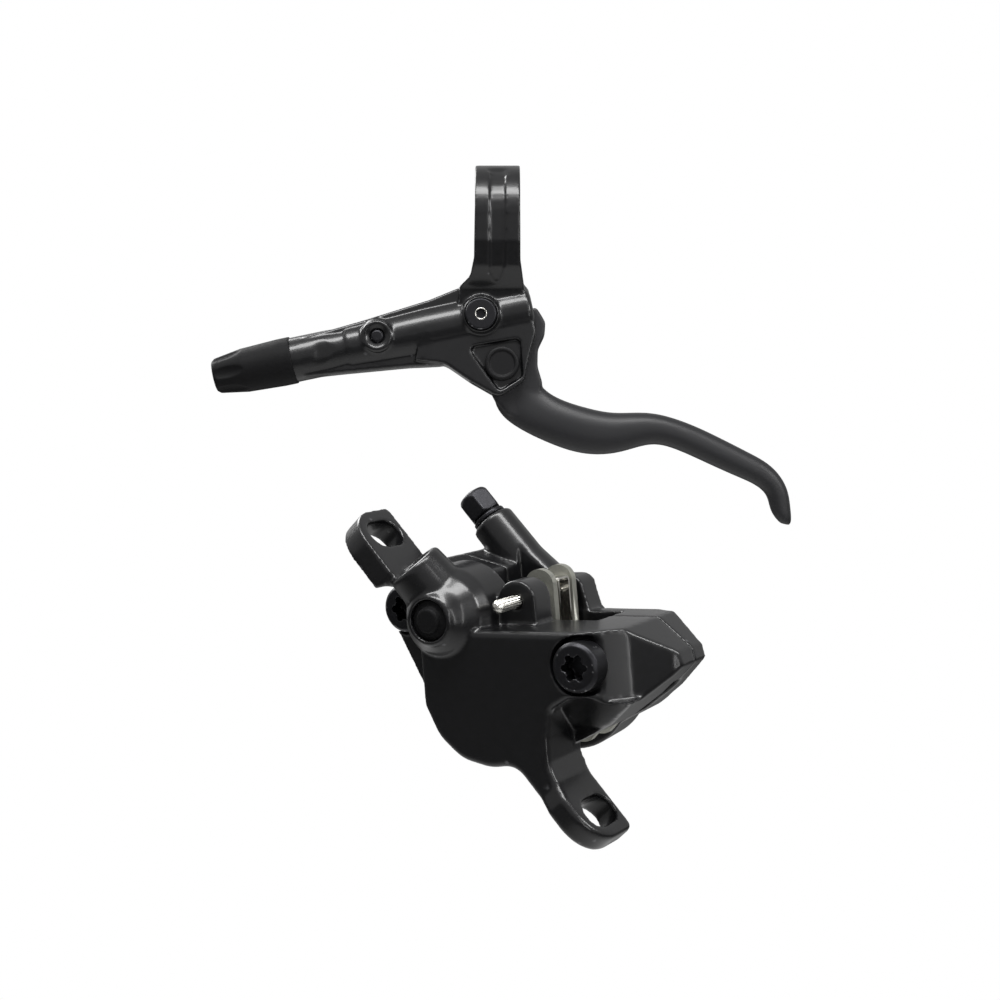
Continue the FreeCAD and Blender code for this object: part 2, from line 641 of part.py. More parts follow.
lid = tank("lid", "0.3", "reservoir_reach + 0.6", "reservoir_reach + 0.6 + lid_thickness")
membrane = tank("membrane", "0.3", "reservoir_reach", "reservoir_reach + 0.6")
lid.Placement = Placement()
membrane.Placement = Placement()
for label, item in (("reservoir_lid", lid), ("reservoir_diaphragm", membrane)):
    holes = [rod(label + "_hole", "lid_screw_diameter + 2 * thread_clearance", "8",
                 on_reservoir().inverse().multiply(place)) for place in lid_screw_places("reservoir_reach - 2")]
    keep(label, less(label + "_cut", item, holes), on_reservoir())
lid_screws = []
for place in lid_screw_places("reservoir_reach + 0.6 + lid_thickness"):
    screw = socket_screw("lid_screw", "lid_screw_diameter", "lid_thickness + 4.5", "4.4", "1.4", "2")
    screw.Placement = place.multiply(Placement(Vector(), Rotation(Vector(1, 0, 0), 180)))
    lid_screws.append(screw)
keep("lid_screws", joined("lid_screw_pair", lid_screws))


# Caliper

caliper = Placement(Vector(number("caliper_across"), -number("caliper_near"), -number("caliper_down")),
                    Rotation(number("caliper_yaw"), number("caliper_pitch"), number("caliper_roll")))


def ear_point(along, rise):
    """A point given along the line of the mounting bolts and above their seats."""
    return (f"({along}) * cos(mount_angle) + ({rise}) * sin(mount_angle)",
            f"-({along}) * sin(mount_angle) + ({rise}) * cos(mount_angle)")


ear_turn = Rotation(HORIZONTAL, number("mount_angle"))


def ear_hole(name, along):
    """A slot through an ear, long across the line of the bolts."""
    reach = "4 * ear_thickness"
    straight = "slot_length - slot_width"
    place = Placement(Vector(), ear_turn).multiply(spot(along, "0", "-2 * ear_thickness"))
    pieces = []
    for side in ("-1", "1"):
        pieces.append(rod(name + "_end", "slot_width", reach,
                          place.multiply(spot("0", f"{side} * ({straight}) / 2", "0"))))
    pieces.append(block(name + "_middle", ("slot_width", straight, reach),
                        place.multiply(spot("-slot_width / 2", f"-({straight}) / 2", "0"))))
    return joined(name, pieces)


plate_face = slab("plate_face", [
    ("-11", "ledge + 3"), ("0.5", "ledge"), ("32", "ledge - 0.6"), ("39.2", "1.8"), ("39.8", "-1"),
    ("38", "-2.8"), ("22", "-5"), ("17.6", "-7.4"), ("16.4", "-13"), ("16.4", "-18.6"),
    ear_point("ear_start", "0"), ear_point("ear_reach", "0"), ear_point("ear_reach", "-ear_thickness"),
    ear_point("20", "-ear_thickness"), ("2.5", "-19.8"), ("-4.4", "-18.2"), ("-9.6", "-13.6"),
    ("-12.6", "-7"),
    ("-12.6", "6"),
], "-near_face - 4", "ear_far", rounds=[("2.2", (7,)), ("3", (9,)), ("5", (13,)), ("9", (14, 15, 16))])
plate_plan = slab("plate_plan", [
    ("-50", "-near_face"), ("28.5", "-near_face"), ("32", "-ear_near"), ("ear_reach", "-ear_near"),
    ("ear_reach", "ear_far"), ("-50", "ear_far"),
], "-60", "60", "XY_Plane", [("ear_corner", (3,)), ("1.5", (4,))])
plate_plan.Placement = Placement(Vector(), ear_turn)
plate_blank = shared("plate_blank", plate_face, plate_plan)
near_plate = eased("near_plate", plate_blank, lambda edge: max(
    vertex.Y for vertex in edge.Vertexes) < 0.01 - number("near_face"), "edge_round")
upper_arm = slab("upper_arm", [
    ear_point("-ear_reach", "0"), ear_point("-14", "0"), ("-6", "2"), ("-12", "-7"), ("-16.6", "-4"),
    ("-22.4", "8"), ear_point("-27", "-ear_thickness"), ear_point("-ear_reach", "-ear_thickness"),
], "-ear_near", "ear_far")
arm_plan = slab("arm_plan", [
    ("-ear_reach", "-ear_near"), ("-26", "-ear_near"), ("-20", "-0.5"), ("20", "-0.5"), ("20", "ear_far"),
    ("-ear_reach", "ear_far"),
], "-60", "60", "XY_Plane", [("ear_corner", (0,)), ("3", (1, 2)), ("1.5", (5,))])
arm_plan.Placement = Placement(Vector(), ear_turn)
upper_ear = shared("upper_ear", upper_arm, arm_plan)
under_slope = slab("under_slope", [
    ("-near_face + 0.4", "1"), ("seam", "1"), ("seam", "-24"), ("7.5", "-16.4"), ("-near_face + 1.2", "-4.4"),
], "10", "42", "YZ_Plane")
under_face = slab("under_face", [
    ("14", "0"), ("38", "0"), ("38", "-2.8"), ("33", "-7.2"), ("26", "-12"), ("18", "-15.8"),
    ("14.5", "-16.8"),
], "-near_face", "seam")
near_under = shared("near_under", under_slope, under_face)
near_seam_side = slab("near_seam_side", [
    ("-11", "ledge + 3"), ("0.5", "ledge"), ("32", "ledge - 0.6"), ("39.2", "1.8"), ("39.8", "-1"),
    ("38", "-2.8"), ("33", "-7.2"), ("26", "-12"), ("18", "-15.8"), ("6.3", "-19.2"),
    ("-4.4", "-18.2"), ("-9.6", "-13.6"), ("-12.6", "-7"), ("-12.6", "6"),
], "4", "seam", rounds=[("8", (9, 10, 11))])
near_corner = slab("near_corner", [
    ("-3.4", "ledge - 4"), ("-3.4", "19.2"), ("-14.3", "22.4"), ("-21.6", "19.6"), ("-25.6", "11.6"),
    ("-21", "5"), ("-12.6", "-4"),
], "1", "seam", rounds=[("3", (2, 3)), ("4", (4,))])
dome = turned("dome", [
    ("0", "-6"), ("10.6", "-6"), ("10.2", "2.4"), ("9.2", "oilway_reach - 5.4"),
    ("7.2", "oilway_reach - 2.6"),
    ("oilway_rim / 2 + 0.3", "oilway_reach - 1"), ("oilway_rim / 2", "oilway_reach - 0.4"),
    ("oilway_rim / 2 - 0.4", "oilway_reach"), ("0", "oilway_reach"),
])
dome.Placement = spot("oilway_across", "0", "oilway_up", OUTWARD)
HOSE_BOSS_WAY = Vector(-0.48, -0.304, 0.823)
hose_end = spot("hose_boss_across", "-hose_boss_near", "hose_boss_up",
                Rotation(Vector(0, 0, 1), HOSE_BOSS_WAY))
hose_boss = turned("hose_boss", [
    ("0", "-hose_boss_length"), ("hose_boss_diameter / 2 + 1.4", "-hose_boss_length"),
    ("hose_boss_diameter / 2", "-0.5"), ("hose_boss_diameter / 2 - 0.5", "0"), ("0", "0"),
])
hose_boss.Placement = hose_end
near_lug = slab("near_lug", [
    ("pin_across - lug_radius", "ledge - 2"), ("pin_across + lug_radius", "ledge - 2"),
    ("pin_across + lug_radius", "pin_up + lug_radius"), ("pin_across - lug_radius", "pin_up + lug_radius"),
], "0.5", "7.5", rounds=[("lug_radius - 0.05", (2, 3))])
near_solid = joined("near_solid", [near_plate, upper_ear, near_under, near_seam_side, near_corner,
                                   dome, hose_boss, near_lug])


def disc_gap(name):
    """Room for the disc's edge between the halves."""
    return rod(name, "2 * disc_slot_radius", "disc_slot",
               spot("piston_across", "seam - disc_slot / 2", "disc_slot_top - disc_slot_radius", INWARD))


def pad_pocket(name):
    """Room for the pads, open downwards to the disc and upwards round their tabs."""
    return slab(name, [
        ("pocket_left", "-30"), ("pocket_right", "-30"), ("pocket_right", "40"), ("-3.4", "40"),
        ("-3.4", "plate_top + 2"), ("pocket_left", "plate_top + 2"),
    ], "seam - pocket_depth", "seam + pocket_depth", rounds=[("1.2", (4,))])


def bolt_hole(name, across, up, start):
    return rod(name, "body_bolt_diameter + 2 * thread_clearance", "seam + 9 - (" + start + ")",
               spot(across, start, up, INWARD))


near_taper = slab("near_taper", [
    ("23", "-12"), ("44", "-12"), ("44", "13"), ("38.2", "8.2"), ("33", "0.4"), ("24.6", "-near_face"),
], "-6", "14", "XY_Plane")
plug_seat = rod("plug_seat", "oilway_plug + 2 * thread_clearance", "4",
                spot("oilway_across", "-oilway_reach + 3.2", "oilway_up", OUTWARD))
port_foot = hose_end.multiply(spot("0", "0", "-port_depth")).Base
piston_back = spot("piston_across", "seam - pocket_depth - piston_length", "piston_up").Base
port_turn = hose_end.Rotation.inverted().multiply(Rotation(Vector(0, 0, 1), piston_back - port_foot))
near_tools = [
    ear_hole("upper_slot", "-mount_spacing / 2"), ear_hole("lower_slot", "mount_spacing / 2"),
    disc_gap("near_disc_gap"), pad_pocket("near_pocket"), near_taper,
    rod("near_piston_bore", "piston_diameter + 2 * sliding_clearance", "piston_length + 1",
        spot("piston_across", "seam - pocket_depth - piston_length - 0.6", "piston_up", INWARD)),
    rod("near_seal_groove", "piston_diameter + 2 * seal_height", "seal_width",
        spot("piston_across", "seam - pocket_depth - 2 - seal_width", "piston_up", INWARD)),
    rod("front_pocket", "bolt_pocket_diameter", "20",
        spot("front_bolt_across", "front_seat - 20", "front_bolt_up", INWARD)),
    bolt_hole("front_hole", "front_bolt_across", "front_bolt_up", "-near_face"),
    bolt_hole("rear_hole", "rear_bolt_across", "rear_bolt_up", "-near_face - 4"),
    rod("rear_pocket", "body_bolt_head + 1", "20",
        spot("rear_bolt_across", "rear_seat - 20", "rear_bolt_up", INWARD)),
    rod("near_pin_hole", "pin_diameter + 2 * thread_clearance", "30",
        spot("pin_across", "-20", "pin_up", INWARD)),
    rod("pin_channel", "pin_diameter + 1.4", "21", spot("pin_across", "-20.5", "pin_up", INWARD)),
    plug_seat,
    rod("oilway", "passage_diameter", "26",
        hose_end.multiply(Placement(Vector(0, 0, -number("port_depth")), port_turn))),
    rod("hose_port_cut", "port_diameter", "port_depth", hose_end.multiply(spot("0", "0", "-port_depth"))),
    rod("seam_groove", "5", "1", spot("-12.9", "seam - 1", "9.2", INWARD)),
    rod("crossover", "passage_diameter", "seam", spot("-12.9", "0.5", "9.2", INWARD)),
]
keep("caliper_outer_half", less("near_half", near_solid, near_tools), caliper)

far_seam_side = slab("far_seam_side", [
    ("-11", "ledge + 3"), ("0.5", "ledge"), ("32", "ledge - 0.6"), ("39.2", "1.8"), ("39.8", "-1"),
    ("38", "-2.8"), ("33", "-7.2"), ("26", "-12"), ("18", "-15.8"), ("6.3", "-19.2"),
    ("-4.4", "-18.2"), ("-9.6", "-13.6"), ("-12.6", "-7"), ("-12.6", "6"),
], "seam", "seam + 10.5", rounds=[("8", (9, 10, 11))])
far_corner = slab("far_corner", [
    ("-3.4", "ledge - 4"), ("-3.4", "19.2"), ("-14.3", "22.4"), ("-21.6", "19.6"), ("-25.6", "11.6"),
    ("-21", "5"), ("-12.6", "-4"),
], "seam", "seam + 9.5", rounds=[("3", (2, 3)), ("4", (4,))])
far_housing = turned("far_housing", [
    ("0", "0"), ("piston_diameter / 2 + 4.2", "0"), ("piston_diameter / 2 + 3.4", "far_face - seam - 3"),
    ("piston_diameter / 2 + 0.6", "far_face - seam"), ("0", "far_face - seam"),
])
far_housing.Placement = spot("piston_across", "seam", "piston_up", INWARD)
tower_turn = Rotation(Vector(0, 0, 1), Vector(-math.cos(math.radians(number("mount_angle"))), 0,
                                              math.sin(math.radians(number("mount_angle")))))
tower_end = spot("bleed_tower_across", "bleed_tower_far", "bleed_tower_up", tower_turn)
tower = turned("tower", [
    ("0", "-bleed_tower_length - 8"), ("bleed_tower_diameter / 2 + 1.6", "-bleed_tower_length - 8"),
    ("bleed_tower_diameter / 2 + 0.1", "-bleed_tower_length + 2"), ("bleed_tower_diameter / 2", "-0.6"),
    ("bleed_tower_diameter / 2 - 0.6", "0"), ("0", "0"),
])
tower.Placement = tower_end
tower_foot = slab("tower_foot", [
    ("6", "ledge - 3"), ("1", "ledge + 6.4"), ("-3.4", "19.2"), ("-14", "21.6"), ("-16", "8"), ("-6", "-2"),
], "seam + 4", "seam + 13.5", rounds=[("2.5", (1, 2))])
far_lug = slab("far_lug", [
    ("pin_across - 4.6", "ledge - 3"), ("pin_across + 7", "ledge - 2"), ("pin_across + 5", "ledge + 0.4"),
    ("pin_across + 3.4", "pin_up + 2.6"), ("pin_across - 4", "pin_up + 2.6"),
], "seam + pocket_depth + 0.4", "seam + 13", rounds=[("3", (3, 4)), ("1.6", (2,))])
far_solid = joined("far_solid", [far_seam_side, far_corner, far_housing, tower, tower_foot, far_lug])
far_taper = slab("far_taper", [
    ("26", "36"), ("44", "36"), ("44", "20"), ("38.2", "21"), ("30", "24.4"), ("27", "seam + 11"),
], "-30", "14", "XY_Plane")
far_tools = [
    disc_gap("far_disc_gap"), pad_pocket("far_pocket"), far_taper,
    rod("far_piston_bore", "piston_diameter + 2 * sliding_clearance", "piston_length + 1",
        spot("piston_across", "seam + pocket_depth - 0.4", "piston_up", INWARD)),
    rod("far_seal_groove", "piston_diameter + 2 * seal_height", "seal_width",
        spot("piston_across", "seam + pocket_depth + 2", "piston_up", INWARD)),
    bolt_hole("front_thread", "front_bolt_across", "front_bolt_up", "seam - 1"),
    bolt_hole("rear_thread", "rear_bolt_across", "rear_bolt_up", "seam - 1"),
    rod("far_pin_hole", "pin_diameter + 2 * thread_clearance", "30",
        spot("pin_across", "seam", "pin_up", INWARD)),
    rod("far_crossover", "passage_diameter", "7", spot("-12.9", "seam - 1", "9.2", INWARD)),
    rod("nipple_hole", "6 + 2 * thread_clearance", "9", tower_end.multiply(spot("0", "0", "-9"))),
]
keep("caliper_inner_half", less("far_half", far_solid, far_tools), caliper)


def star_socket(name, radius, depth, place):
    """The six-lobed recess of a body bolt's head."""
    lobes = [rod(name + "_core", f"2 * ({radius}) * 0.74", depth, place)]
    for turn in range(6):
        spin = Placement(Vector(), Rotation(Vector(0, 0, 1), 60 * turn))
        lobes.append(rod(name + "_lobe", f"({radius}) * 0.5", depth,
                         place.multiply(spin).multiply(spot(f"({radius}) * 0.75", "0", "0"))))
    return joined(name, lobes)


def body_bolt(name, length):
    blank = turned(name + "_blank", [
        ("0", "-body_bolt_head_height"), ("body_bolt_head / 2 - 0.7", "-body_bolt_head_height"),
        ("body_bolt_head / 2", "-body_bolt_head_height + 0.7"), ("body_bolt_head / 2", "0"),
        ("body_bolt_diameter / 2", "0"), ("body_bolt_diameter / 2", f"({length}) - 0.7"),
        ("body_bolt_diameter / 2 - 0.7", length), ("0", length),
    ])
    return less(name, blank,
                [star_socket(name + "_star", "2.9", "3.2", spot("0", "0", "-body_bolt_head_height"))])


keep("front_body_bolt", body_bolt("front_bolt", "seam + 8 - front_seat"),
     caliper.multiply(spot("front_bolt_across", "front_seat", "front_bolt_up", INWARD)))
keep("rear_body_bolt", body_bolt("rear_bolt", "seam + 8 - rear_seat"),
     caliper.multiply(spot("rear_bolt_across", "rear_seat", "rear_bolt_up", INWARD)))

plate_back = "pocket_depth - 1"
for side, way in (("outer", -1), ("inner", 1)):
    turn = OUTWARD if way < 0 else INWARD
    seam_place = spot("piston_across", "seam", "piston_up", turn)
    keep(f"{side}_piston", turned(side + "_cup", [
        ("piston_diameter / 2 - piston_wall", plate_back), ("piston_diameter / 2 - 0.4", plate_back),
        ("piston_diameter / 2", f"{plate_back} + 0.4"),
        ("piston_diameter / 2", f"{plate_back} + piston_length - 0.5"),
        ("piston_diameter / 2 - 0.5", f"{plate_back} + piston_length"),
        ("0", f"{plate_back} + piston_length"),
        ("0", f"{plate_back} + piston_length - piston_wall"),
        ("piston_diameter / 2 - piston_wall", f"{plate_back} + piston_length - piston_wall"),
    ]), caliper.multiply(seam_place))
    keep(f"{side}_piston_seal", turned(side + "_seal", [
        ("piston_diameter / 2 + sliding_clearance", "pocket_depth + 2.1"),
        ("piston_diameter / 2 + seal_height", "pocket_depth + 2.1"),
        ("piston_diameter / 2 + seal_height", "pocket_depth + 1.9 + seal_width"),
        ("piston_diameter / 2 + sliding_clearance", "pocket_depth + 1.9 + seal_width"),
    ]), caliper.multiply(seam_place))
    near_side = f"seam + {way} * ({plate_back})"
    far_side = f"seam + {way} * ({plate_back} - plate_thickness)"
    front = f"seam + {way} * ({plate_back} - plate_thickness - lining_thickness)"
    low, high = (near_side, far_side) if way < 0 else (far_side, near_side)
    half = "plate_width / 2"
    plate = slab(side + "_plate", [
        (f"piston_across - {half}", "plate_bottom + 4"), ("piston_across - 10", "plate_bottom"),
        ("piston_across + 10", "plate_bottom"), (f"piston_across + {half}", "plate_bottom + 4"),
        (f"piston_across + {half}", "plate_top - 3"), ("piston_across + 10", "plate_top"),
        ("pin_across + tab_width / 2", "plate_top"), ("pin_across + tab_width / 2", "tab_top"),
        ("pin_across - tab_width / 2", "tab_top"), ("pin_across - tab_width / 2", "plate_top"),
        ("piston_across - 10", "plate_top"), (f"piston_across - {half}", "plate_top - 3"),
    ], low, high, rounds=[("tab_width / 2 - 0.05", (7, 8)), ("2", (0, 1, 2, 3, 4, 11))])
    keep(f"{side}_pad_plate", less(side + "_plate_cut", plate, [
        rod(side + "_tab_hole", "pin_diameter + 2 * free_clearance", "10",
            spot("pin_across", f"({low}) - 4", "pin_up", INWARD))]), caliper)
    low, high = (far_side, front) if way < 0 else (front, far_side)
    keep(f"{side}_pad_lining", slab(side + "_lining", [
        (f"piston_across - {half} + 1", "plate_bottom + 4.4"), ("piston_across - 9.4", "plate_bottom + 0.8"),
        ("piston_across + 9.4", "plate_bottom + 0.8"), (f"piston_across + {half} - 1", "plate_bottom + 4.4"),
        (f"piston_across + {half} - 1", "-1.4"), (f"piston_across - {half} + 1", "-1.4"),
    ], low, high, rounds=[("1.5", (0, 1, 2, 3, 4, 5))]), caliper)

spring_reach = "pocket_depth - 1 - plate_thickness - 0.8"
spring_corners = [
    (f"seam - ({spring_reach})", "2.6"), (f"seam - ({spring_reach})", "spring_top"),
    (f"seam + ({spring_reach})", "spring_top"), (f"seam + ({spring_reach})", "2.6"),
    (f"seam + ({spring_reach}) - spring_sheet", "2.6"),
    (f"seam + ({spring_reach}) - spring_sheet", "spring_top - spring_sheet"),
    (f"seam - ({spring_reach}) + spring_sheet", "spring_top - spring_sheet"),
    (f"seam - ({spring_reach}) + spring_sheet", "2.6"),
]
spring = slab("spring_fold", spring_corners, "pin_across - 3.2", "pin_across + 3.2", "YZ_Plane",
              [("1.1", (1, 2)), ("0.7", (5, 6))])
keep("pad_spring", less("spring_cut", spring, [
    rod("spring_hole", "pin_diameter + 2 * thread_clearance", "20",
        spot("pin_across", "seam - 10", "pin_up", INWARD))]), caliper)
keep("split_pin", turned("pin", [
    ("0", "-pin_near_end"), ("pin_diameter / 2 - 0.7", "-pin_near_end"),
    ("pin_diameter / 2", "-pin_near_end + 0.8"),
    ("pin_diameter / 2", "seam + 13"), ("pin_diameter / 2 - 0.5", "seam + 14"), ("0", "seam + 14"),
]), caliper.multiply(spot("pin_across", "0", "pin_up", INWARD)))

nipple_blank = joined("nipple_blank", [
    turned("nipple_stem", [
        ("0", "-8"), ("2", "-8"), ("3", "-6.5"), ("3", "0"), ("3.9", "0.3"), ("3.9", "1.1"), ("2.8", "1.3"),
        ("2.8", "2"),
        ("0", "2"),
    ]),
    shared("nipple_head",
           prism("nipple_hexagon", "nipple_across_flats", "nipple_height", spot("0", "0", "1.6")),
           turned("nipple_crown", [
               ("0", "1.6"), ("3.5", "1.6"), ("4.1", "2.2"), ("4.1", "nipple_height - 0.6"),
               ("3.2", "nipple_height + 0.9"), ("1.6", "nipple_height + 1.5"), ("0", "nipple_height + 1.6"),
           ])),
])
keep("bleed_nipple", nipple_blank, caliper.multiply(tower_end))
keep("oilway_plug", turned("button", [
    ("0", "-2.8"), ("oilway_plug / 2", "-2.8"), ("oilway_plug / 2", "-0.9"), ("2.9", "-0.6"), ("2.6", "0.2"),
    ("2.2", "0.5"), ("0", "0.5"),
]), caliper.multiply(spot("oilway_across", "-oilway_reach", "oilway_up", OUTWARD)))
keep("crossover_seal", turned("crossover_ring", [
    ("1.3", "0.02"), ("2.4", "0.02"), ("2.4", "0.98"), ("1.3", "0.98"),
]), caliper.multiply(spot("-12.9", "seam - 1", "9.2", INWARD)))

doc.recompute()

for item in doc.Objects:
    if "Invalid" in item.State or "Error" in item.State:
        raise RuntimeError(f"{item.Name} failed: {item.State}")
for item in parts:
    if item.Shape.isNull() or not item.Shape.isValid():
        raise RuntimeError(f"{item.Label} has no valid shape")

os.makedirs("parts", exist_ok=True)
for item in parts:
    item.Shape.exportStep(f"parts/{item.Label}.step")
    box = item.Shape.BoundBox
    print(f"{item.Label}: {len(item.Shape.Solids)} solid, {item.Shape.Volume:.1f} mm3, "
          f"{box.XLength:.1f} x {box.YLength:.1f} x {box.ZLength:.1f}")
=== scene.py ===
import json
import math

import bpy
from bpy.props import (FloatProperty, FloatVectorProperty, IntProperty, PointerProperty,
                       StringProperty)
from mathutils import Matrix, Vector

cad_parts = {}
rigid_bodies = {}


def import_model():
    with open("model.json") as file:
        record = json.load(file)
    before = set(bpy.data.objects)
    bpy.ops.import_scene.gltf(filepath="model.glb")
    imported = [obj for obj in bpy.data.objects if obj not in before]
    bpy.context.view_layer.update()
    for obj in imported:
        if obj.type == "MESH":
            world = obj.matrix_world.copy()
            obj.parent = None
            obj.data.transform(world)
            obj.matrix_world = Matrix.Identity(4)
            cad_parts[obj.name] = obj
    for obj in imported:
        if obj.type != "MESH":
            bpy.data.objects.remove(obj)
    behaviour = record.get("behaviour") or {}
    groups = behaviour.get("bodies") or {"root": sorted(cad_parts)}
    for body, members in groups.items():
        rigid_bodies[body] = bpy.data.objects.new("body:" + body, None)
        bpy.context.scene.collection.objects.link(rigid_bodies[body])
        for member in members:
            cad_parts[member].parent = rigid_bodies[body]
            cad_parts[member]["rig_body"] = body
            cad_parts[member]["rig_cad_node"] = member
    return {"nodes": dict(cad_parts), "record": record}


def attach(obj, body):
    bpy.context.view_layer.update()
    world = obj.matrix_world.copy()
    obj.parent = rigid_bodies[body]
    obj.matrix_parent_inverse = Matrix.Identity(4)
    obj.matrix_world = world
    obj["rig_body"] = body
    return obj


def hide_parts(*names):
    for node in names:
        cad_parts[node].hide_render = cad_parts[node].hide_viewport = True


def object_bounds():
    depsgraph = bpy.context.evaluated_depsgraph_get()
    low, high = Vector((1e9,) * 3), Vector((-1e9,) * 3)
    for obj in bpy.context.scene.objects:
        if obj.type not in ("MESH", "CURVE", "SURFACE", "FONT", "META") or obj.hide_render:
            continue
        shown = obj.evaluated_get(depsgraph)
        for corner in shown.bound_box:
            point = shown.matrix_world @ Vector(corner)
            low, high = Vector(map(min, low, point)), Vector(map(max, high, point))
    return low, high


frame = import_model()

bl_info = {
    "name": "Hydraulic Disc Brake",
    "version": (1, 0, 0),
    "blender": (4, 5, 0),
    "location": "View3D > Sidebar > Brake",
    "description": "Dresses a bicycle disc brake's lever and caliper in paint, rubber and steel",
    "category": "Object",
}

CAD_BOX = [list(corner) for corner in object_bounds()]
MM = 0.001

# A Mix node's colour sockets, whose names its number sockets also have
MIX_FIRST, MIX_SECOND, MIX_RESULT = 6, 7, 2
# How far the paint's roughness drifts up and down
ROUGHNESS_DRIFT = 0.03

# How near two corners are joined up, in metres
MERGE_DISTANCE = 1e-6
# The bend from which an edge of a turned or stamped piece stays sharp
SHARP_ANGLE = math.radians(38)
# How far one round of smoothing moves a point towards its neighbours
SMOOTHING = 0.5

# Where the lever body's forms run together on the side of the camera: across, near, up and
# the reach round that point, in mm
LEVER_BLENDS = (
    (1.2, -8, 13.5, 4.5),   # top of the clamp's panel
    (-53.6, -7, -40, 5),    # barrel's neck
    (-23.5, -8, -38.5, 5),  # step beside the barrel
)
# How far behind such a point the smoothing still reaches
BLEND_DEPTH = 1.5 * MM
BLEND_ROUNDS = 60
# How far the middle of the socket's ring lies behind the front of the screw
RIM_SINK = 0.05 * MM

SENSOR_WIDTH = 36
FRAME_PIXELS = 1000
CLIP_RANGE = (0.01, 20)
FLOOR_SIZE = 8
FLOOR_DROP = 0.25
# How far from its middle the floor that paint and metal mirror starts and stops to fade
POOL_START, POOL_END = 0.15, 0.7
# How steeply a ray points up, from -1 to 1, where the room starts and stops to brighten
ROOM_START, ROOM_END = -0.05, 0.9

LAMP_AIM = (0, -0.05, -0.07)
# Each lamp's name, its place, its two sides in metres and the setting that holds its power
LAMPS = (
    ("overhead_box", (-0.05, -0.36, 0.46), (0.7, 0.18), "key_power"),
    ("right_strip", (0.3, -0.62, -0.04), (0.05, 0.5), "strip_power"),
    ("rear_rim", (-0.45, 0.35, 0.4), (0.4, 0.4), "rim_power"),
    ("nose_light", (0.42, -0.3, 0.12), (0.1, 0.16), "nose_power"),
)


# Colours and shader nodes

def linear(hex_colour):
    """An sRGB hex colour as a linear colour with alpha."""
    channels = [int(hex_colour[i:i + 2], 16) / 255 for i in (1, 3, 5)]
    return [c / 12.92 if c <= 0.04045 else ((c + 0.055) / 1.055) ** 2.4 for c in channels] + [1.0]


def plug(tree, socket, value):
    """Sets a socket, or links it where the value is a pair of a node and one of its outputs."""
    if isinstance(value, tuple):
        node, output = value
        tree.links.new(node.outputs[output], socket)
    else:
        socket.default_value = value


def add(tree, kind, settings=None, *in_order, **by_name):
    """A shader node with its settings. Its sockets get values or links, in order or by name."""
    node = tree.nodes.new(kind)
    for name, value in (settings or {}).items():
        setattr(node, name, value)
    for socket, value in zip(node.inputs, in_order):
        plug(tree, socket, value)
    for name, value in by_name.items():
        plug(tree, node.inputs[name.replace("_", " ")], value)
    return node


def start_material(name, **surface):
    """An empty material with its main shader, its output and its coordinates."""
    material = bpy.data.materials.new(name)
    material.use_nodes = True
    tree = material.node_tree
    tree.nodes.clear()
    shader = add(tree, "ShaderNodeBsdfPrincipled", **surface)
    add(tree, "ShaderNodeOutputMaterial", Surface=(shader, "BSDF"))
    place = add(tree, "ShaderNodeTexCoord")
    return material, tree, shader, place


def grain(tree, shader, place, millimetres, height, detail, distortion=0.0):
    """A fine bump whose grains are about so many millimetres wide, and the noise that makes it.
    The real grains, about 0.1 mm wide, are too fine to show, so they are drawn coarser."""
    noise = add(tree, "ShaderNodeTexNoise", Vector=(place, "Object"), Scale=1 / (millimetres * MM),
                Detail=detail, Distortion=distortion)
    bump = add(tree, "ShaderNodeBump", Height=(noise, "Fac"), Strength=height, Distance=0.1 * MM)
    plug(tree, shader.inputs["Normal"], (bump, "Normal"))
    return noise


def roughen(tree, shader, noise, low, high):
    """Lets the roughness drift between two values with a noise."""
    spread = add(tree, "ShaderNodeMapRange", Value=(noise, "Fac"), To_Min=low, To_Max=high)
    plug(tree, shader.inputs["Roughness"], (spread, "Result"))


def mix_colours(tree, shader, share, first, second):
    """Runs the shader's colour from one colour to another, and gives that colour back."""
    mix = add(tree, "ShaderNodeMix", {"data_type": "RGBA"}, Factor=share)
    plug(tree, mix.inputs[MIX_FIRST], first)
    plug(tree, mix.inputs[MIX_SECOND], second)
    plug(tree, shader.inputs["Base Color"], (mix, MIX_RESULT))
    return mix, MIX_RESULT


def tint(tree, shader, noise, first, second):
    """Lets the colour drift between two near colours with a noise."""
    return mix_colours(tree, shader, (noise, "Fac"), linear(first), linear(second))


def painted_edge_highlights(tree, shader, skin, low, high, edge):
    """Paints a highlight into the skin's colour: it turns paler where the surface bends sharply
    outwards, as thin lines of light along the edges."""
    bend = add(tree, "ShaderNodeNewGeometry")
    highlight_share = add(tree, "ShaderNodeMapRange", Value=(bend, "Pointiness"), From_Min=low,
                 From_Max=high)
    mix_colours(tree, shader, (highlight_share, "Result"), skin, linear(edge))


def painted_aluminium(look):
    """Cast aluminium under black paint: a deep black with soft wide highlights and a faint
    orange peel."""
    material, tree, shader, place = start_material(
        "painted_aluminium", IOR=1.5, Specular_IOR_Level=0.32, Coat_Weight=look.paint_coat,
        Coat_Roughness=0.14, Coat_IOR=1.45)
    noise = grain(tree, shader, place, millimetres=1.6, height=0.02, detail=2)
    skin = tint(tree, shader, noise, look.paint_hex, "#0f0f11")
    roughen(tree, shader, noise, look.paint_roughness - ROUGHNESS_DRIFT,
            look.paint_roughness + ROUGHNESS_DRIFT)
    # Painted highlight: the paint turns paler on sharp edges, as thin lines of light.
    painted_edge_highlights(tree, shader, skin, low=0.54, high=0.66, edge=look.edge_highlight_hex)
    return material


def anodised_blade(look):
    """Forged aluminium with a fine blasted dark grey finish: matte, with one broad sheen."""
    material, tree, shader, place = start_material(
        "anodised_blade", IOR=1.5, Specular_IOR_Level=0.35)
    noise = grain(tree, shader, place, millimetres=0.22, height=0.22, detail=4)
    tint(tree, shader, noise, look.blade_hex, "#1c1c1e")
    roughen(tree, shader, noise, low=0.42, high=0.5)
    return material


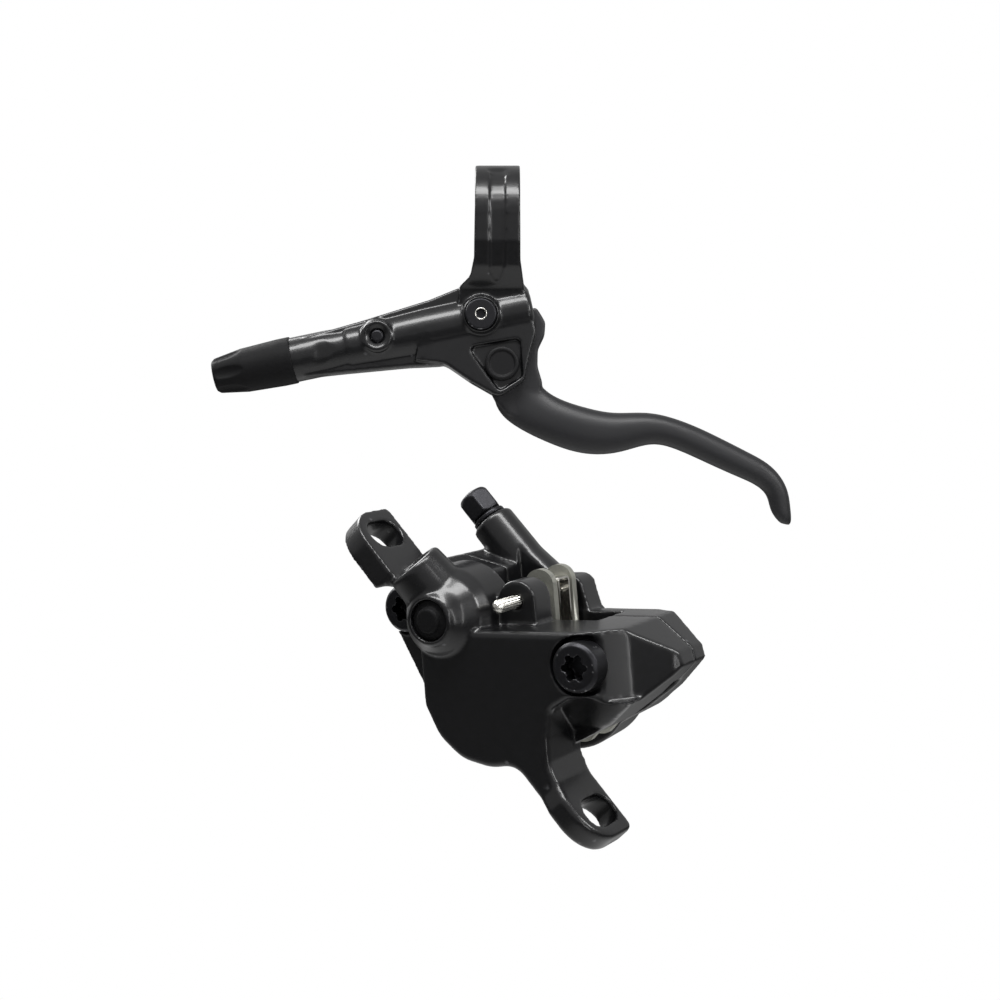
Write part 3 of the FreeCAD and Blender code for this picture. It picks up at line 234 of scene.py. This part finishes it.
def moulded_rubber(look):
    """Moulded black rubber: dull, with a fine grain that breaks up its highlights."""
    material, tree, shader, place = start_material(
        "moulded_rubber", IOR=1.45, Specular_IOR_Level=0.12)
    noise = grain(tree, shader, place, millimetres=0.3, height=0.5, detail=5)
    tint(tree, shader, noise, look.rubber_hex, "#121213")
    roughen(tree, shader, noise, low=0.5, high=0.7)
    return material


def black_oxide_steel(look):
    """Turned steel under black oxide: a dark metal whose sharp edges carry a painted highlight."""
    material, tree, shader, place = start_material("black_oxide_steel", Metallic=0.85)
    noise = grain(tree, shader, place, millimetres=0.5, height=0.04, detail=3)
    skin = tint(tree, shader, noise, look.oxide_hex, "#2e2e31")
    roughen(tree, shader, noise, low=0.34, high=0.44)
    # Painted highlight: sharp edges turn paler, as thin lines of light.
    painted_edge_highlights(tree, shader, skin, low=0.53, high=0.62, edge="#6e6e70")
    return material


def matte_cap(look):
    """A pressed cap in matte black: dull all over, so that its rings show only as soft shades."""
    material, tree, shader, place = start_material("matte_cap", IOR=1.5, Specular_IOR_Level=0.2)
    noise = grain(tree, shader, place, millimetres=0.6, height=0.05, detail=3)
    tint(tree, shader, noise, "#08080a", "#0c0c0d")
    roughen(tree, shader, noise, low=0.5, high=0.6)
    return material


def stainless_steel(look):
    """Rolled stainless sheet and ground rod: bright, with faint streaks."""
    material, tree, shader, place = start_material("stainless_steel", Metallic=1.0)
    noise = grain(tree, shader, place, millimetres=0.8, height=0.03, detail=2, distortion=1.5)
    tint(tree, shader, noise, "#b9b7b0", "#dcdad4")
    roughen(tree, shader, noise, low=0.16, high=0.3)
    return material


def stamped_plate_steel(look):
    """Stamped backing plates: warm grey steel with a dull rolled skin."""
    material, tree, shader, place = start_material("stamped_plate_steel", Metallic=0.9)
    noise = grain(tree, shader, place, millimetres=0.4, height=0.3, detail=4)
    tint(tree, shader, noise, look.plate_hex, "#a3a39a")
    roughen(tree, shader, noise, low=0.42, high=0.58)
    return material


def friction_resin(look):
    """Pressed friction material: dull dark grains among paler ones."""
    material, tree, shader, place = start_material("friction_resin", Roughness=0.85)
    noise = grain(tree, shader, place, millimetres=0.5, height=0.8, detail=6)
    tint(tree, shader, noise, "#2b2927", "#5a554d")
    return material


def phenolic_resin(look):
    """Turned resin pistons: dark brown-black with a dull polish."""
    material, tree, shader, place = start_material("phenolic_resin", Roughness=0.4, IOR=1.55)
    noise = grain(tree, shader, place, millimetres=0.8, height=0.1, detail=3)
    tint(tree, shader, noise, "#1d1a18", "#2c2723")
    return material


def turned_alloy(look):
    """Turned aluminium inside the cylinder: clean bright metal."""
    material, tree, shader, place = start_material("turned_alloy", Metallic=1.0, Roughness=0.3)
    noise = grain(tree, shader, place, millimetres=0.6, height=0.1, detail=2)
    tint(tree, shader, noise, "#a9a9ab", "#c9c9cb")
    return material


def turned_brass(look):
    """Turned brass bushes: warm yellow metal."""
    material, tree, shader, place = start_material("turned_brass", Metallic=1.0, Roughness=0.3)
    noise = grain(tree, shader, place, millimetres=0.6, height=0.1, detail=2)
    tint(tree, shader, noise, "#b08a45", "#c79f55")
    return material


MATERIAL_MAKERS = {
    "painted_casting": painted_aluminium,
    "anodised_blade": anodised_blade,
    "black_rubber": moulded_rubber,
    "black_steel": black_oxide_steel,
    "matte_cap": matte_cap,
    "bright_steel": stainless_steel,
    "pad_steel": stamped_plate_steel,
    "friction_resin": friction_resin,
    "piston_resin": phenolic_resin,
    "plunger_alloy": turned_alloy,
    "bearing_brass": turned_brass,
}
made_materials = {}


def material_for(finish):
    """The material of a slot or of the cap, made at its first use."""
    if finish not in made_materials:
        made_materials[finish] = MATERIAL_MAKERS[finish](bpy.context.scene.brake_looks)
    return made_materials[finish]


def slot_of(node):
    """The record's material slot for a construction node."""
    return next(row["material_slot"] for row in frame["record"]["subparts"] if row["node"] == node)


def body_of(node):
    """The record's body that a construction node moves with."""
    bodies = frame["record"]["behaviour"]["bodies"]
    return next(body for body, members in bodies.items() if node in members)


# Shaping

def pick(piece):
    """Selects one piece alone and makes it active."""
    if bpy.context.object and bpy.context.object.mode != "OBJECT":
        bpy.ops.object.mode_set(mode="OBJECT")
    bpy.ops.object.select_all(action="DESELECT")
    piece.hide_set(False)
    piece.select_set(True)
    bpy.context.view_layer.objects.active = piece


def finish_with(piece, kind, **settings):
    """Adds a modifier and applies it."""
    pick(piece)
    modifier = piece.modifiers.new(kind.lower(), kind)
    for name, value in settings.items():
        setattr(modifier, name, value)
    bpy.ops.object.modifier_apply(modifier=modifier.name)


def copied(node):
    """A copy of a construction node, with its loose triangles joined up."""
    pick(frame["nodes"][node])
    bpy.ops.object.duplicate()
    piece = bpy.context.object
    piece.name = node + "_surface"
    piece.parent = None
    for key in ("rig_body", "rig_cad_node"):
        if key in piece:
            del piece[key]
    bpy.ops.object.mode_set(mode="EDIT")
    bpy.ops.mesh.select_all(action="SELECT")
    bpy.ops.mesh.remove_doubles(threshold=MERGE_DISTANCE)
    bpy.ops.object.mode_set(mode="OBJECT")
    return piece


def settle(piece, node, finish):
    """Gives a piece its material, body and slot, and hides the node that it stands for."""
    piece.data.materials.clear()
    piece.data.materials.append(material_for(finish))
    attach(piece, body_of(node))
    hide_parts(node)


def blend_out(piece, places):
    """Smooths a casting's outer skin much more round a few points, where its forms run together.
    The skin further in, such as a bore's wall, stays as it is."""
    group = piece.vertex_groups.new(name="blend")
    for across, near, up, reach in places:
        middle = Vector((across, near, up)) * MM
        near_skin = [v.index for v in piece.data.vertices
                     if (v.co - middle).length < reach * MM and v.co.y < middle.y + BLEND_DEPTH]
        group.add(near_skin, 1.0, "REPLACE")
    finish_with(piece, "SMOOTH", factor=SMOOTHING, iterations=BLEND_ROUNDS, vertex_group="blend")


def softened(node, voxel, rounds, keep=1.0, finish=None, blends=()):
    """A cast, moulded or turned piece whose edges are eased, as a mould and a coat of paint or a
    file leave them."""
    piece = copied(node)
    finish_with(piece, "REMESH", mode="VOXEL", voxel_size=voxel, adaptivity=0.0)
    finish_with(piece, "SMOOTH", factor=SMOOTHING, iterations=rounds)
    if blends:
        blend_out(piece, blends)
    if keep < 1.0:
        finish_with(piece, "DECIMATE", ratio=keep)
    pick(piece)
    bpy.ops.object.shade_smooth()
    settle(piece, node, finish or slot_of(node))


def crisp(*nodes):
    """Turned or stamped pieces: smooth round their curves and sharp at their edges."""
    for node in nodes:
        piece = copied(node)
        pick(piece)
        bpy.ops.object.shade_smooth_by_angle(angle=SHARP_ANGLE)
        settle(piece, node, slot_of(node))


def socket_rim(node, radius, width):
    """A bright worn ring round the key socket of a screw that faces the camera."""
    head = frame["nodes"][node]
    corners = [head.matrix_world @ Vector(corner) for corner in head.bound_box]
    low = Vector([min(corner[i] for corner in corners) for i in range(3)])
    high = Vector([max(corner[i] for corner in corners) for i in range(3)])
    place = ((low.x + high.x) / 2, low.y + RIM_SINK, (low.z + high.z) / 2)
    bpy.ops.mesh.primitive_torus_add(
        location=place, rotation=(math.radians(90), 0, 0), major_segments=48, minor_segments=12,
        major_radius=radius, minor_radius=width / 2)
    ring = bpy.context.object
    ring.name = node + "_socket_rim"
    bpy.ops.object.transform_apply(location=True, rotation=True, scale=True)
    bpy.ops.object.shade_smooth()
    ring.data.materials.append(material_for("bright_steel"))
    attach(ring, body_of(node))


# Settings that a user would change

class BrakeLooks(bpy.types.PropertyGroup):
    paint_hex: StringProperty(name="Paint", description="Colour of the black paint",
                              default="#0a0a0b")
    paint_roughness: FloatProperty(name="Paint roughness", subtype="FACTOR",
                                   description="How wide the paint's highlights are",
                                   default=0.32, min=0.05, max=1.0)
    paint_coat: FloatProperty(name="Paint coat", subtype="FACTOR",
                              description="Share of clear gloss over the paint",
                              default=0.35, min=0.0, max=1.0)
    # Colour of the painted highlight along the paint's sharp edges.
    edge_highlight_hex: StringProperty(name="Edges", description="Colour of the paint on sharp edges",
                             default="#3c3c3e")
    blade_hex: StringProperty(name="Blade", description="Colour of the lever blade",
                              default="#161618")
    rubber_hex: StringProperty(name="Rubber", description="Colour of the rubber boot",
                               default="#0a0a0b")
    oxide_hex: StringProperty(name="Oxide", description="Colour of the black oxide steel",
                              default="#232325")
    plate_hex: StringProperty(name="Plates", description="Colour of the pad plates",
                              default="#8d8d87")


class BrakeSizes(bpy.types.PropertyGroup):
    casting_voxel: FloatProperty(name="Casting grid", unit="LENGTH", precision=5,
                                 description="Grid that eases the edges of castings and blade",
                                 default=0.00034, min=0.0002, max=0.001)
    casting_rounds: IntProperty(name="Casting rounds",
                                description="How far the castings' edges are eased",
                                default=12, min=0, max=40)
    blade_rounds: IntProperty(name="Blade rounds", description="How far the blade is smoothed",
                              default=24, min=0, max=80)
    boot_voxel: FloatProperty(name="Boot grid", unit="LENGTH", precision=5,
                              description="Grid that eases the rubber boot's edges",
                              default=0.00022, min=0.0001, max=0.001)
    boot_rounds: IntProperty(name="Boot rounds",
                             description="How far the rubber boot's edges are eased",
                             default=8, min=0, max=40)
    share_kept: FloatProperty(name="Share kept", subtype="FACTOR",
                              description="Share of triangles kept in castings, blade and boot",
                              default=0.6, min=0.1, max=1.0)
    small_voxel: FloatProperty(name="Small grid", unit="LENGTH", precision=5,
                               description="Grid that eases the edges of screws and cap",
                               default=0.00016, min=0.0001, max=0.001)
    small_rounds: IntProperty(name="Small rounds",
                              description="How far the edges of screws and cap are eased",
                              default=4, min=0, max=40)
    rim_radius: FloatProperty(name="Rim radius", unit="LENGTH", precision=5,
                              description="Radius of the ring round the bleed screw's socket",
                              default=0.0016, min=0.0005, max=0.003)
    rim_width: FloatProperty(name="Rim width", unit="LENGTH", precision=5,
                             description="Width of that ring",
                             default=0.0004, min=0.0001, max=0.001)


class BrakeStage(bpy.types.PropertyGroup):
    distance: FloatProperty(name="Camera distance", unit="LENGTH",
                            description="From the camera to the lever's plane",
                            default=0.5, min=0.2)
    photo_scale: FloatProperty(name="Photo scale",
                               description="Pixels to a millimetre in the lever's plane",
                               default=3.4, min=1.0)
    look_at: FloatVectorProperty(name="Middle", unit="LENGTH", subtype="TRANSLATION",
                                 description="Point of the lever's plane in the picture's middle",
                                 default=(0.0007, 0.0, -0.0831))
    floor_near: FloatProperty(name="Floor near",
                              description="How bright the mirrored floor is under the object",
                              default=0.9, min=0.0)
    floor_far: FloatProperty(name="Floor far",
                             description="How bright the mirrored floor is far from the object",
                             default=0.12, min=0.0)
    walls: FloatProperty(name="Walls", description="How bright the mirrored walls are",
                         default=0.5, min=0.0)
    room_low: FloatProperty(name="Room below", description="Light from the room's lower half",
                            default=0.02, min=0.0)
    room_high: FloatProperty(name="Room above", description="Light from the room's upper half",
                             default=0.35, min=0.0)
    key_power: FloatProperty(name="Overhead box", description="Power of the large box above",
                             default=7, min=0.0, unit="POWER")
    strip_power: FloatProperty(name="Right strip", description="Power of the upright strip",
                               default=0.6, min=0.0, unit="POWER")
    rim_power: FloatProperty(name="Rear box", description="Power of the box behind",
                             default=5, min=0.0, unit="POWER")
    nose_power: FloatProperty(name="Side box", description="Power of the small box at the right",
                              default=1, min=0.0, unit="POWER")


# The brake's pieces

class BRAKE_OT_lever_body(bpy.types.Operator):
    """Dresses the lever body and the pieces fixed to it"""
    bl_idname = "brake.lever_body"
    bl_label = "Lever body"

    def execute(self, context):
        sizes = context.scene.brake_sizes
        softened("lever_body", sizes.casting_voxel, sizes.casting_rounds, sizes.share_kept,
                 blends=LEVER_BLENDS)
        softened("bleed_screw", sizes.small_voxel, sizes.small_rounds)
        softened("port_plug", sizes.small_voxel, sizes.small_rounds)
        softened("axle_cap", sizes.small_voxel, sizes.small_rounds, finish="matte_cap")
        socket_rim("bleed_screw", sizes.rim_radius, sizes.rim_width)
        crisp("reservoir_lid", "clamp_bolt", "bleed_screw_seal", "lid_screws", "lever_axle",
              "near_pivot_bush", "far_pivot_bush", "reservoir_diaphragm")
        return {"FINISHED"}


class BRAKE_OT_lever_blade(bpy.types.Operator):
    """Dresses the lever blade"""
    bl_idname = "brake.lever_blade"
    bl_label = "Lever blade"

    def execute(self, context):
        sizes = context.scene.brake_sizes
        softened("lever_blade", sizes.casting_voxel, sizes.blade_rounds, sizes.share_kept)
        return {"FINISHED"}


class BRAKE_OT_master_cylinder(bpy.types.Operator):
    """Dresses what works inside the master cylinder"""
    bl_idname = "brake.master_cylinder"
    bl_label = "Master cylinder"

    def execute(self, context):
        crisp("pushrod", "master_piston", "primary_cup", "secondary_cup", "piston_return_spring")
        return {"FINISHED"}


class BRAKE_OT_hose_end(bpy.types.Operator):
    """Dresses the rubber boot and the hose nut under it"""
    bl_idname = "brake.hose_end"
    bl_label = "Hose end"

    def execute(self, context):
        sizes = context.scene.brake_sizes
        softened("hose_boot", sizes.boot_voxel, sizes.boot_rounds, sizes.share_kept)
        crisp("hose_nut")
        return {"FINISHED"}


class BRAKE_OT_caliper(bpy.types.Operator):
    """Dresses the caliper's two halves and what is screwed into them"""
    bl_idname = "brake.caliper"
    bl_label = "Caliper"

    def execute(self, context):
        sizes = context.scene.brake_sizes
        for node in ("caliper_outer_half", "caliper_inner_half"):
            softened(node, sizes.casting_voxel, sizes.casting_rounds, sizes.share_kept)
        for node in ("front_body_bolt", "rear_body_bolt", "bleed_nipple", "oilway_plug"):
            softened(node, sizes.small_voxel, sizes.small_rounds)
        crisp("crossover_seal")
        return {"FINISHED"}


class BRAKE_OT_pads(bpy.types.Operator):
    """Dresses the pads, their spring and pin, and the pistons behind them"""
    bl_idname = "brake.pads"
    bl_label = "Pads"

    def execute(self, context):
        crisp("outer_pad_plate", "inner_pad_plate", "outer_pad_lining", "inner_pad_lining",
              "pad_spring", "split_pin", "outer_piston", "inner_piston", "outer_piston_seal",
              "inner_piston_seal")
        return {"FINISHED"}


# The stage

def seen(tree, in_metal):
    """The strength of a background that is white to the camera and through glass, and in_metal
    to rays that metal and paint mirror, and a number that is 1 for all of these rays."""
    path = add(tree, "ShaderNodeLightPath")
    straight = add(tree, "ShaderNodeMath", {"operation": "MAXIMUM"},
                   (path, "Is Camera Ray"), (path, "Is Transmission Ray"))
    mirrored = add(tree, "ShaderNodeMath", {"operation": "MULTIPLY"},
                   (path, "Is Glossy Ray"), in_metal)
    strength = add(tree, "ShaderNodeMath", {"operation": "MAXIMUM"},
                   (straight, "Value"), (mirrored, "Value"))
    either = add(tree, "ShaderNodeMath", {"operation": "MAXIMUM"},
                 (straight, "Value"), (path, "Is Glossy Ray"))
    return strength, either


def place_camera(stage):
    """The camera, level in front of the lever's plane, at the photograph's scale."""
    bpy.ops.object.camera_add(location=Vector(stage.look_at) - Vector((0, stage.distance, 0)),
                              rotation=(math.radians(90), 0, 0))
    camera = bpy.context.object
    camera.name = "photo_camera"
    focal_pixels = stage.photo_scale * stage.distance / MM
    camera.data.sensor_width = SENSOR_WIDTH
    camera.data.lens = SENSOR_WIDTH * focal_pixels / FRAME_PIXELS
    camera.data.clip_start, camera.data.clip_end = CLIP_RANGE
    bpy.context.scene.camera = camera


def lay_floor(stage):
    """A pale floor, white to the camera, which paint and metal mirror as a pool that fades."""
    lowest = CAD_BOX[0][2]
    bpy.ops.mesh.primitive_plane_add(size=FLOOR_SIZE, location=(0, 0, lowest - FLOOR_DROP))
    floor = bpy.context.object
    floor.name = "pale_floor"
    material, tree, shader, place = start_material("pale_floor", Base_Color=linear("#f4f4f4"),
                                                   Roughness=0.9)
    away = add(tree, "ShaderNodeVectorMath", {"operation": "LENGTH"}, (place, "Object"))
    pool = add(tree, "ShaderNodeMapRange", {"interpolation_type": "SMOOTHSTEP"},
               Value=(away, "Value"), From_Min=POOL_START, From_Max=POOL_END,
               To_Min=stage.floor_near, To_Max=stage.floor_far)
    strength, either = seen(tree, (pool, "Result"))
    glow = add(tree, "ShaderNodeEmission", Strength=(strength, "Value"))
    mix = add(tree, "ShaderNodeMixShader", None,
              (either, "Value"), (shader, "BSDF"), (glow, "Emission"))
    output = next(node for node in tree.nodes if node.type == "OUTPUT_MATERIAL")
    plug(tree, output.inputs["Surface"], (mix, "Shader"))
    floor.data.materials.append(material)


def fill_world(stage):
    """A white studio, which lights the object mostly from above."""
    world = bpy.data.worlds.new("white_studio")
    bpy.context.scene.world = world
    world.use_nodes = True
    tree = world.node_tree
    tree.nodes.clear()
    place = add(tree, "ShaderNodeTexCoord")
    split = add(tree, "ShaderNodeSeparateXYZ", Vector=(place, "Generated"))
    room = add(tree, "ShaderNodeMapRange", Value=(split, "Z"), From_Min=ROOM_START,
               From_Max=ROOM_END, To_Min=stage.room_low, To_Max=stage.room_high)
    strength, either = seen(tree, stage.walls)
    rays = add(tree, "ShaderNodeMix", Factor=(either, "Value"), A=(room, "Result"),
               B=(strength, "Value"))
    background = add(tree, "ShaderNodeBackground", Color=linear("#ffffff"),
                     Strength=(rays, "Result"))
    add(tree, "ShaderNodeOutputWorld", Surface=(background, "Background"))


def soft_box(name, place, size, power):
    """A large soft lamp that faces the brake."""
    bpy.ops.object.light_add(type="AREA", location=place)
    lamp = bpy.context.object
    lamp.name = name
    lamp.data.shape = "RECTANGLE"
    lamp.data.size, lamp.data.size_y = size
    lamp.data.energy = power
    lamp.rotation_euler = (Vector(LAMP_AIM) - Vector(place)).to_track_quat("-Z", "Y").to_euler()


class BRAKE_OT_stage(bpy.types.Operator):
    """Sets the camera, the pale floor, the white background and the lamps"""
    bl_idname = "brake.stage"
    bl_label = "Stage"

    def execute(self, context):
        stage = context.scene.brake_stage
        context.scene.view_settings.view_transform = "Standard"
        place_camera(stage)
        lay_floor(stage)
        fill_world(stage)
        for name, place, size, power in LAMPS:
            soft_box(name, place, size, getattr(stage, power))
        return {"FINISHED"}


STEPS = ("lever_body", "lever_blade", "master_cylinder", "hose_end", "caliper", "pads", "stage")


class BRAKE_PT_panel(bpy.types.Panel):
    bl_label = "Brake"
    bl_idname = "BRAKE_PT_panel"
    bl_space_type = "VIEW_3D"
    bl_region_type = "UI"
    bl_category = "Brake"

    def draw(self, context):
        for step in STEPS:
            self.layout.operator("brake." + step)
        scene = context.scene
        for group in (scene.brake_looks, scene.brake_sizes, scene.brake_stage):
            for setting in group.__annotations__:
                self.layout.prop(group, setting)


CLASSES = (BrakeLooks, BrakeSizes, BrakeStage, BRAKE_OT_lever_body, BRAKE_OT_lever_blade,
           BRAKE_OT_master_cylinder, BRAKE_OT_hose_end, BRAKE_OT_caliper, BRAKE_OT_pads,
           BRAKE_OT_stage, BRAKE_PT_panel)


def register():
    for item in CLASSES:
        bpy.utils.register_class(item)
    bpy.types.Scene.brake_looks = PointerProperty(type=BrakeLooks)
    bpy.types.Scene.brake_sizes = PointerProperty(type=BrakeSizes)
    bpy.types.Scene.brake_stage = PointerProperty(type=BrakeStage)


def unregister():
    del bpy.types.Scene.brake_looks
    del bpy.types.Scene.brake_sizes
    del bpy.types.Scene.brake_stage
    for item in reversed(CLASSES):
        bpy.utils.unregister_class(item)


def main():
    register()
    for step in STEPS:
        getattr(bpy.ops.brake, step)()


if __name__ == "__main__":
    main()
